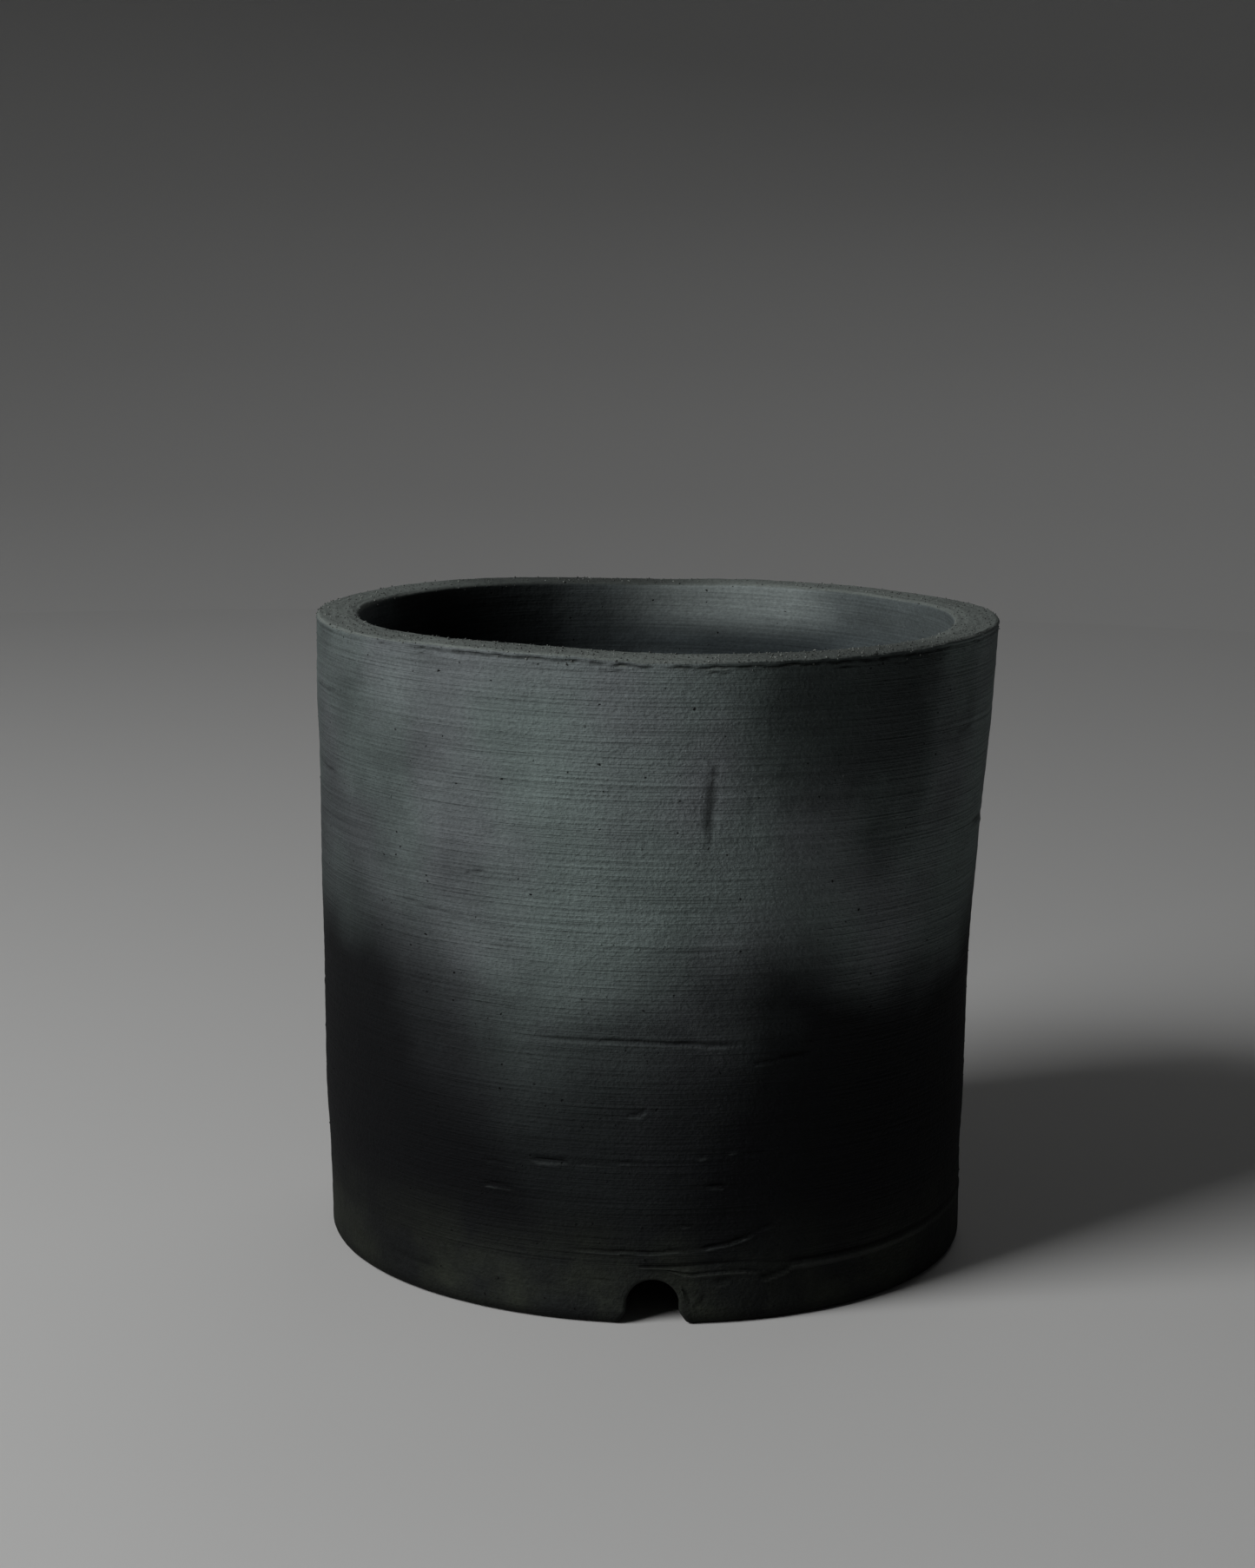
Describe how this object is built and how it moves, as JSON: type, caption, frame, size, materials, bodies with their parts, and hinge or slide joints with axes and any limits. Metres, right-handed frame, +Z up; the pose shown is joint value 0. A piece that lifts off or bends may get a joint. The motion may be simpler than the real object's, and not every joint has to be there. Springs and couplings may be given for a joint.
{
  "type": "cylindrical stoneware pot",
  "caption": "Open cylindrical stoneware pot with a flat rim, a raised floor with a drain hole and a foot ring with arched notches; holds a plant or a candle.",
  "frame": {"origin": "centre of the plane that the foot ring rests on", "axes": "+Z up along the pot's axis, out of its open mouth; one foot notch faces -Y and the others are 120 and 240 degrees round from it"},
  "size_m": [0.1, 0.1, 0.093],
  "materials": {
    "smoked_stoneware": "unglazed, smoke-stained blue-grey to black, brushed and gritty, matt",
    "carbon_stoneware": "unglazed, blackened by carbon, finger-smoothed, matt",
    "bare_stoneware": "unglazed, dark olive-grey clay, cut and sponged, matt"
  },
  "bodies": {
    "root": {"foot_ring": "bare_stoneware", "wall": "smoked_stoneware", "floor": "carbon_stoneware", "corner_coil": "carbon_stoneware", "foot_coil": "bare_stoneware"}
  },
  "joints": []
}
